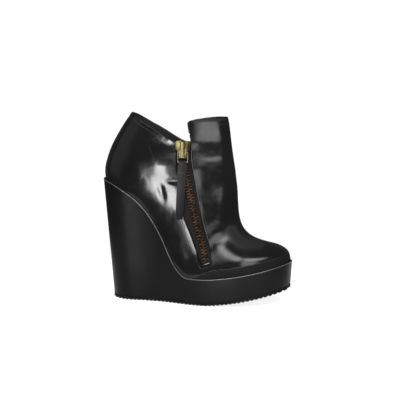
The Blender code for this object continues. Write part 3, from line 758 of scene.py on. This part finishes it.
# a fold fades towards its ends: the share of a half wave it starts at and runs over, its power,
# and how many widths it reaches to the sides
foldEnds = {"start": 0.12, "span": 0.76, "power": 1.5, "reach": 3}


def creaseLift(x, z, folds):
    lift = 0.0
    for fold in folds.values():
        away, where = pathDistance(x, z, fold["path"])
        if away < foldEnds["reach"] * fold["width"]:
            wave = math.sin(math.pi * (foldEnds["start"] + foldEnds["span"] * where))
            taper = wave ** foldEnds["power"]
            lift += fold["height"] * math.exp(-(away / fold["width"]) ** 2) * taper
    return lift


# Places where the leather is less polished: paths in the side view, or the strip along the seam
dulled = {
    "hem": {"height": 9.8, "fade": 0.8, "behind": 3.0, "before": 32.0},
    "paths": {
        "tail": {
            "path": ((-16, 94), (-9, 85), (-2, 76), (4, 64)),
            "width": 6.0, "strength": 0.12,
        },
        "instep": {
            "path": ((44, 85), (49, 78), (56, 73), (64, 71), (78, 70)),
            "width": 5.5, "strength": 1.0,
        },
        "panelTop": {
            "path": ((2, 214), (14, 214.5), (34, 214)),
            "width": 2.6, "strength": 0.8,
        },
    },
}


def hemTop(point):
    # how far the point lies below the top of the dull strip, which rises from nothing under the zip
    hem = dulled["hem"]
    share = (point.x / mm - hem["behind"]) / (hem["before"] - hem["behind"])
    share = min(1.0, max(0.0, share))
    return hem["height"] * math.sin(math.pi / 2 * share) - overSeam(point)


def dullness(point):
    worn = min(1.0, max(0.0, 1 + hemTop(point) / dulled["hem"]["fade"]))
    if point.y < midline * mm:
        for place in dulled["paths"].values():
            away, _ = pathDistance(point.x / mm, point.z / mm, place["path"])
            worn = max(worn, place["strength"] * math.exp(-(away / place["width"]) ** 2))
    return worn


def makeSkin():
    # the outer face of the upper, before its edges are cut
    bpy.ops.object.select_all(action="DESELECT")
    around, along = skinGrid["around"], skinGrid["along"]
    bpy.ops.mesh.primitive_grid_add(x_subdivisions=around, y_subdivisions=along, size=2)
    skin = bpy.context.object
    skin.name = "upper_leather"
    for vertex in skin.data.vertices:
        step = round((vertex.co.y + 1) / 2 * form["lastStep"], 6)
        vertex.co = skinPoint(step, vertex.co.x)
    bpy.ops.object.mode_set(mode="EDIT")
    bpy.ops.mesh.select_all(action="SELECT")
    bpy.ops.mesh.remove_doubles(threshold=skinGrid["weld"])
    bpy.ops.mesh.dissolve_degenerate(threshold=skinGrid["weld"] / 2)
    bpy.ops.mesh.select_all(action="SELECT")
    bpy.ops.mesh.normals_make_consistent(inside=False)
    bpy.ops.mesh.select_all(action="DESELECT")
    bpy.ops.mesh.select_non_manifold(
        extend=False, use_wire=False, use_multi_face=False, use_verts=False
    )
    bpy.ops.mesh.select_all(action="INVERT")
    bpy.ops.mesh.vertices_smooth(factor=0.5, repeat=skinGrid["smoothings"])
    bpy.ops.object.mode_set(mode="OBJECT")
    plainTree = treeOf(skin.data)
    normals = [vertex.normal.copy() for vertex in skin.data.vertices]
    for vertex, normal in zip(skin.data.vertices, normals):
        lateral = vertex.co.y < midline * mm
        folds = creases if lateral else innerCreases
        vertex.co += normal * creaseLift(vertex.co.x / mm, vertex.co.z / mm, folds) * mm
    return skin, plainTree


# Edges of the leather, as signed distances in the side view: positive is leather

def polygonDistance(x, z, corners):
    inside, best = False, 1e9
    for (ax, az), (bx, bz) in zip(corners, corners[1:] + corners[:1]):
        if (az > z) != (bz > z) and x < (bx - ax) * (z - az) / (bz - az) + ax:
            inside = not inside
        span = max(1e-9, (bx - ax) ** 2 + (bz - az) ** 2)
        t = min(1.0, max(0.0, ((x - ax) * (bx - ax) + (z - az) * (bz - az)) / span))
        best = min(best, math.hypot(x - ax - t * (bx - ax), z - az - t * (bz - az)))
    return best if inside else -best


past = 30.0  # the cutting shape reaches this far beyond the boot
topEdge = [
    ((along - 0.5) * form["length"], rise * form["height"]) for along, rise in toplineRows
]
far, sky = form["length"] / 2 + past, form["height"] + past
skyShape = [(-far, sky), (-far, topEdge[0][1])] + topEdge + [(far, topEdge[-1][1]), (far, sky)]


def zipCentre(z):
    return (read(zipRows, 1, round(z / form["height"], 6)) - 0.5) * form["length"]


def zipPlace(z, across):
    slope = (zipCentre(z + 1) - zipCentre(z - 1)) / 2
    length = math.hypot(1, slope)
    return zipCentre(z) + across / length, z - across * slope / length


# The zip's opening: steps along a side, the y in millimetres beyond which it cuts the leather,
# the distance given to all the rest, and the height in metres from which its edge is turned
zipOpening = {"steps": 70, "outerSide": -8.0, "elsewhere": 50.0, "turnedFrom": 0.06}


def windowShape():
    rear, front = [], []
    top = zipRows[-1][0] * form["height"]
    for n in range(zipOpening["steps"] + 1):
        z = form["zipBottom"] + (top - form["zipBottom"]) * n / zipOpening["steps"]
        share = round(z / form["height"], 6)
        rear.append(zipPlace(z, -read(zipRows, 2, share)))
        front.append(zipPlace(z, read(zipRows, 3, share)))
    return front + rear[::-1]


zipWindow = windowShape()


def overTopline(point):
    height = point.z / mm + form["innerFall"] * point.y / mm
    return -polygonDistance(point.x / mm, height, skyShape)


def overWindow(point):
    if point.y / mm > zipOpening["outerSide"]:
        return zipOpening["elsewhere"]
    return -polygonDistance(point.x / mm, point.z / mm, zipWindow)


def overSeam(point):
    x, step = point.x / mm, 0.5
    slope = (seamHeight(x + step) - seamHeight(x - step)) / (2 * step)
    return (point.z / mm - seamHeight(x)) / math.hypot(1, slope) - form["gap"]


def contour(bm, values, level):
    # lines of equal value on the skin: lists of (point, normal), and whether each is a ring
    crossings, spans = {}, {}
    for edge in bm.edges:
        a, b = (values[v.index] - level for v in edge.verts)
        if (a > 0) != (b > 0):
            t = a / (a - b)
            first, second = edge.verts
            normal = first.normal.lerp(second.normal, t).normalized()
            crossings[edge.index] = (first.co.lerp(second.co, t), normal)
            spans[edge.index] = []
    for face in bm.faces:
        crossed = [edge.index for edge in face.edges if edge.index in crossings]
        for one, other in zip(crossed[::2], crossed[1::2]):
            spans[one].append(other)
            spans[other].append(one)
    lines, left = [], set(spans)
    ends = [index for index in spans if len(spans[index]) == 1]
    for start in ends + list(spans):
        if start not in left:
            continue
        line, now = [], start
        while now is not None:
            left.discard(now)
            line.append(crossings[now])
            following = [index for index in spans[now] if index in left]
            now = following[0] if following else None
        if len(line) > 3:
            lines.append((line, start not in ends))
    return lines


snapShare = 0.3  # a vertex this near a cut, as a share of its edge, moves onto it


def trim(bm, measure):
    # cuts the skin where the measure turns negative, with the cut on mesh edges
    values = {vertex: measure(vertex.co) for vertex in bm.verts}
    for vertex in list(bm.verts):
        best = None
        for edge in vertex.link_edges:
            other = edge.other_vert(vertex)
            a, b = values[vertex], values[other]
            if a * b < 0:
                t = abs(a) / (abs(a) + abs(b))
                if t < snapShare and (best is None or t < best[0]):
                    best = (t, other)
        if best:
            vertex.co = vertex.co.lerp(best[1].co, best[0])
            values[vertex] = 0.0
    for edge in list(bm.edges):
        first, second = edge.verts
        a, b = values[first], values[second]
        if a * b < 0:
            _, made = bmesh.utils.edge_split(edge, first, a / (a - b))
            values[made] = 0.0
    for face in list(bm.faces):
        onCut = [vertex for vertex in face.verts if values[vertex] == 0.0]
        signs = {values[vertex] > 0 for vertex in face.verts if values[vertex] != 0.0}
        if len(onCut) == 2 and len(signs) == 2:
            bmesh.utils.face_split(face, onCut[0], onCut[1])
    gone = [face for face in bm.faces if sum(values[vertex] for vertex in face.verts) < 0]
    bmesh.ops.delete(bm, geom=gone, context="FACES")
    loose = [vertex for vertex in bm.verts if not vertex.link_faces]
    bmesh.ops.delete(bm, geom=loose, context="VERTS")


def runsWhere(line, ring, keep):
    # the parts of a line whose points pass a test, each in one piece
    passed = [keep(point) for point, _ in line]
    if all(passed):
        return [line + line[:1]] if ring else [line]
    if ring:
        start = passed.index(False)
        line, passed = line[start:] + line[:start], passed[start:] + passed[:start]
    runs, run = [], []
    for place, good in zip(line, passed):
        if good:
            run.append(place)
        elif run:
            runs.append(run)
            run = []
    if run:
        runs.append(run)
    return [run for run in runs if len(run) > 3]


def evenly(line, pitch):
    # points on a line at an even pitch, with normals
    places, carry = [], 0.0
    for (a, na), (b, nb) in zip(line, line[1:]):
        span = (b - a).length
        while carry <= span and span > 0:
            t = carry / span
            places.append((a.lerp(b, t), na.lerp(nb, t).normalized()))
            carry += pitch
        carry -= span
    return places


skin, skinTree = makeSkin()
bm = bmesh.new()
bm.from_mesh(skin.data)
bm.normal_update()
for part in (bm.verts, bm.edges, bm.faces):
    part.index_update()
topValues = [overTopline(vertex.co) for vertex in bm.verts]
windowValues = [overWindow(vertex.co) for vertex in bm.verts]
print("upper formed:", len(bm.faces), "faces")


def isTurned(point):
    return overTopline(point) > 0 and point.z > zipOpening["turnedFrom"]


edgeLines = {"topline": [], "window": []}
for line, ring in contour(bm, topValues, 0.0):
    edgeLines["topline"] += runsWhere(line, ring, lambda point: overWindow(point) > 0)
for line, ring in contour(bm, windowValues, 0.0):
    edgeLines["window"] += runsWhere(line, ring, isTurned)

notchX = -0.01  # metres: the collar's row of stitches ends here and the front panel's starts
stitching = {
    "length": 2.1,
    "pitch": 2.9,
    "radius": 0.26,
    "flatness": 0.8,
    "squareness": 0.6,
    "lift": 0.05,
    "rows": {  # level is the distance from the edge
        "collar": {
            "values": topValues,
            "level": 4.0,
            "keep": lambda p: overWindow(p) > 3.0 and p.x < notchX,
        },
        "panel": {
            "values": topValues,
            "level": 7.6,
            "keep": lambda p: overWindow(p) > 5.0 and p.x > notchX,
        },
        "window": {
            "values": windowValues,
            "level": 2.4,
            "keep": lambda p: overTopline(p) > 3.0,
        },
    },
}
stitchPlaces = []
for row in stitching["rows"].values():
    for line, ring in contour(bm, row["values"], row["level"]):
        for run in runsWhere(line, ring, row["keep"]):
            stitchPlaces.append(evenly(run, stitching["pitch"] * mm))

trim(bm, overWindow)
trim(bm, overTopline)
trim(bm, overSeam)
bmesh.ops.remove_doubles(bm, verts=bm.verts, dist=skinGrid["weld"])
bm.to_mesh(skin.data)
bm.free()

upperSettings = {"wall": 1.8, "edgeRadius": 0.92, "smoothAngle": 50}
only(skin)
skin.data.materials.append(leather["upper"])
skin.data.materials.append(leather["lining"])
wall = skin.modifiers.new("wall", "SOLIDIFY")
wall.thickness = upperSettings["wall"] * mm
wall.offset = -1
wall.use_even_offset = False
wall.material_offset = 1
wall.material_offset_rim = 0
applyModifiers(skin)
bpy.ops.object.shade_smooth_by_angle(angle=math.radians(upperSettings["smoothAngle"]))
worn = skin.data.attributes.new("worn", "FLOAT", "POINT")
worn.data.foreach_set("value", [dullness(vertex.co) for vertex in skin.data.vertices])
skin.data.materials.append(leather["hem"])
hemSlot = len(skin.data.materials) - 1
for polygon in skin.data.polygons:
    isOuter, spot = polygon.material_index == 0, polygon.center
    if isOuter and spot.x > dulled["hem"]["behind"] * mm and hemTop(spot) > 0:
        polygon.material_index = hemSlot
settle(skin, "boot", None, ("upper",))
print("upper cut:", len(skin.data.polygons), "faces")


beadStep = 1.2  # millimetres between the points of a bead


def bead(name, lines, radius, sink, material):
    # a round edge along lines on the leather
    curve = bpy.data.curves.new(name, "CURVE")
    curve.dimensions = "3D"
    curve.bevel_depth = radius * mm
    curve.bevel_resolution = 2
    curve.use_fill_caps = True
    for line in lines:
        places = evenly(line, beadStep * mm)
        spline = curve.splines.new("POLY")
        spline.points.add(len(places) - 1)
        for point, (place, normal) in zip(spline.points, places):
            point.co = (*(place - normal * sink * mm), 1)
    obj = bpy.data.objects.new(name, curve)
    scene.collection.objects.link(obj)
    only(obj)
    bpy.ops.object.convert(target="MESH")
    obj = bpy.context.object
    bpy.ops.object.shade_smooth()
    settle(obj, "boot", material)


# Sharp line of the ankle fold
ankleFold = {
    "path": ((-52, 181), (-49, 176), (-46, 170), (-42, 163)),
    "steps": 4,
    "radius": 0.5,
    "sink": 0.28,
}
leatherTree = treeOf(skin.data)
fold, steps = [], ankleFold["steps"]
for (ax, az), (bx, bz) in zip(ankleFold["path"], ankleFold["path"][1:]):
    for n in range(steps):
        x, z = ax + (bx - ax) * n / steps, az + (bz - az) * n / steps
        fold.append(metFromOutside(leatherTree, x, z))
bead("ankle_fold", [fold], ankleFold["radius"], ankleFold["sink"], leather["edge"])

radius = upperSettings["edgeRadius"]
bead("collar_edge", edgeLines["topline"], radius, radius, leather["edge"])
bead("zip_opening_edge", edgeLines["window"], radius, radius, leather["edge"])

# Thin turned edge that stands along the top of the wedge and platform cover
lip = {"radius": 0.6, "stand": 0.2, "places": 240}


def lipLine():
    line = []
    for n in range(lip["places"] + 1):
        turn = 2 * math.pi * n / lip["places"]
        along = (1 - math.cos(turn)) / 2
        side, sign = (1, -1) if turn <= math.pi else (2, 1)
        x = (along - 0.5) * (form["length"] - 2 * lip["radius"])
        z = seamHeight(x)
        y = midline + sign * halfWidth(side, round(along, 6), z, lip["radius"])
        line.append((Vector((x, y, z)) * mm, Vector((0, 0, 1))))
    return line


lipSink = lip["radius"] - lip["stand"]
# the lip leather's lighter colour paints the highlight along this edge
bead("wedge_edge", [lipLine()], lip["radius"], lipSink, leather["lip"])
print("edges turned")


def stitchModel():
    bpy.ops.object.select_all(action="DESELECT")
    bpy.ops.mesh.primitive_uv_sphere_add(segments=6, ring_count=5, radius=1)
    model = bpy.context.object
    half, radius = stitching["length"] / 2, stitching["radius"]
    for vertex in model.data.vertices:
        x, y, z = vertex.co
        flat = math.copysign(abs(z) ** stitching["squareness"], z)
        vertex.co = Vector((flat * half, x * radius, y * radius * stitching["flatness"])) * mm
    return model


def placeCopies(name, model, placements, body, material, replaced=()):
    # one mesh of copies of a model, each at (point, along, out)
    source = model.data
    bm = bmesh.new()
    for point, along, out in placements:
        across = out.cross(along).normalized()
        out = along.cross(across).normalized()
        before = len(bm.verts)
        bm.from_mesh(source)
        bm.verts.ensure_lookup_table()
        for vertex in bm.verts[before:]:
            x, y, z = vertex.co
            vertex.co = point + along * x + across * y + out * z
    bmesh.ops.recalc_face_normals(bm, faces=bm.faces)
    mesh = bpy.data.meshes.new(name)
    bm.to_mesh(mesh)
    bm.free()
    bpy.data.objects.remove(model)
    obj = bpy.data.objects.new(name, mesh)
    scene.collection.objects.link(obj)
    only(obj)
    bpy.ops.object.shade_smooth_by_angle(angle=math.radians(40))
    settle(obj, body, material, replaced)


stitches = []
for run in stitchPlaces:
    for (place, normal), (after, _) in zip(run, run[1:]):
        along = (after - place).normalized()
        stitches.append((place + normal * stitching["lift"] * mm, along, normal))
placeCopies("upper_stitches", stitchModel(), stitches, "boot", thread.material)
print("stitches sewn:", len(stitches))

# Zip: teeth copied along the chain
teeth = {
    "pitch": 3.2,
    "start": 51.2,
    "first": 0.6,  # the first tooth's middle lies this far above the start
    "top": 168.0,
    "lift": 0.35,
    "centre": 1.55,
    "half": (2.45, 0.68, 0.95),
    "bevel": 0.28,
}


def skinPlace(x, z):
    return metFromOutside(skinTree, x, z, start=-80)


def toothModel():
    # a short bar across the chain with all its edges cut
    bpy.ops.object.select_all(action="DESELECT")
    bpy.ops.mesh.primitive_cube_add(size=2)
    model = bpy.context.object
    model.scale = [half * mm for half in teeth["half"]]
    bpy.ops.object.transform_apply(location=False, rotation=False, scale=True)
    bpy.ops.object.mode_set(mode="EDIT")
    bpy.ops.mesh.select_all(action="SELECT")
    bpy.ops.mesh.bevel(offset=teeth["bevel"] * mm, segments=1, affect="EDGES")
    bpy.ops.object.mode_set(mode="OBJECT")
    return model


for rowName, side in (("rear", -1), ("front", 1)):
    placements = []
    shift = 0.0 if side < 0 else teeth["pitch"] / 2
    count = int((teeth["top"] - teeth["start"]) / teeth["pitch"])
    for n in range(count):
        z = teeth["start"] + shift + n * teeth["pitch"] + teeth["first"]
        point, normal = skinPlace(*zipPlace(z, side * teeth["centre"]))
        other, _ = skinPlace(*zipPlace(z, side * (teeth["centre"] + 1)))
        raised = point + normal * teeth["lift"] * mm
        placements.append((raised, (other - point).normalized(), normal))
    name, replaced = "teeth_" + rowName, ("zip_teeth_" + rowName,)
    placeCopies(name, toothModel(), placements, "boot", metal["agedCopper"], replaced)
print("zip teeth set")

# Hardware and strap: rounded copies of their solids
slider = copyNode("zip_slider", "slider_body")
roundEdges(slider, "slider")
settle(slider, "boot", metal["brass"], ("zip_slider",))

# Thin dark bars of painted shade, put in the shadowed grooves beside the slider's bridge
grooves = {"middle": 179.5, "out": 3.72, "across": 2.45, "up": 4.8, "half": (0.32, 4.4, 0.12)}
seat, out = skinPlace(zipCentre(grooves["middle"]), grooves["middle"])
rise = (Vector((0, 0, 1)) - out * out.z).normalized()
bpy.ops.object.select_all(action="DESELECT")
bpy.ops.mesh.primitive_cube_add(size=2)
groove = bpy.context.object
groove.scale = Vector(grooves["half"]) * mm
bpy.ops.object.transform_apply(location=False, rotation=False, scale=True)
across = rise.cross(out)
grooveSeats = []
for side in (-1, 1):
    away = out * grooves["out"] + rise * grooves["up"] + across * side * grooves["across"]
    grooveSeats.append((seat + away * mm, across, out))
placeCopies("slider_groove_shade", groove, grooveSeats, "boot", metal["grooveShade"])

# The pull: a wire ring and the folded strap with its cross seam
ring = copyNode("pull_ring", "ring_wire")
only(ring)
bpy.ops.object.shade_smooth()
settle(ring, "pull", metal["paleBrass"], ("pull_ring",))
strap = copyNode("pull_strap", "strap_leather")
roundEdges(strap, "strap")
settle(strap, "pull", leather["strap"], ("pull_strap",))
strapStitches = {
    "height": 153.0,
    "pitch": 2.1,
    "margin": 1.2,
    "span": (-34.0, 4.0),  # x looked through for the strap, in steps
    "step": 0.25,
}
strapTree = treeOf(strap.data)
crossing, x = [], strapStitches["span"][0]
while x < strapStitches["span"][1]:
    hit, normal = metFromOutside(strapTree, x, strapStitches["height"])
    if hit:
        crossing.append((hit, normal))
    x += strapStitches["step"]
edge = int(strapStitches["margin"] / strapStitches["step"])
places = evenly(crossing[edge:-edge], strapStitches["pitch"] * mm)
seats = [(a, (b - a).normalized(), normal) for (a, normal), (b, _) in zip(places, places[1:])]
placeCopies("strap_stitches", stitchModel(), seats, "pull", thread.material)
print("strap stitches:", len(seats))

# What else is a rounded or smoothed copy of its solid
stop = copyNode("zip_bottom_stop", "bottom_stop")
roundEdges(stop, "stop")
settle(stop, "boot", metal["nickel"], ("zip_bottom_stop",))
wedge = copyNode("wedge", "wedge_cover")
only(wedge)
bpy.ops.object.shade_smooth_by_angle(angle=math.radians(30))
settle(wedge, "boot", leather["wedge"], ("wedge",))
insole = copyNode("insole", "insole_sock")
roundEdges(insole, "insole")
settle(insole, "boot", leather["lining"], ("insole",))

for node, material in (
    ("outsole", rubber.material),
    ("zip_tape_rear", weave.material),
    ("zip_tape_front", weave.material),
):
    nodes[node].data.materials.clear()
    nodes[node].data.materials.append(material)
print("hardware, wedge and sole finished")

# The strong boxes would burn the small metal parts out, so these get a mild one of their own
metals = bpy.data.collections.new("metals")
others = bpy.data.collections.new("notMetals")
zipMetals = ("slider_body", "slider_groove_shade", "bottom_stop", "teeth_rear", "teeth_front")
for name in (*zipMetals, "ring_wire"):
    metals.objects.link(bpy.data.objects[name])
    others.objects.link(bpy.data.objects[name])
for member in others.collection_objects:
    member.light_linking.link_state = "EXCLUDE"
for name, light in boxes.items():
    light.light_linking.receiver_collection = metals if name == "metalBox" else others
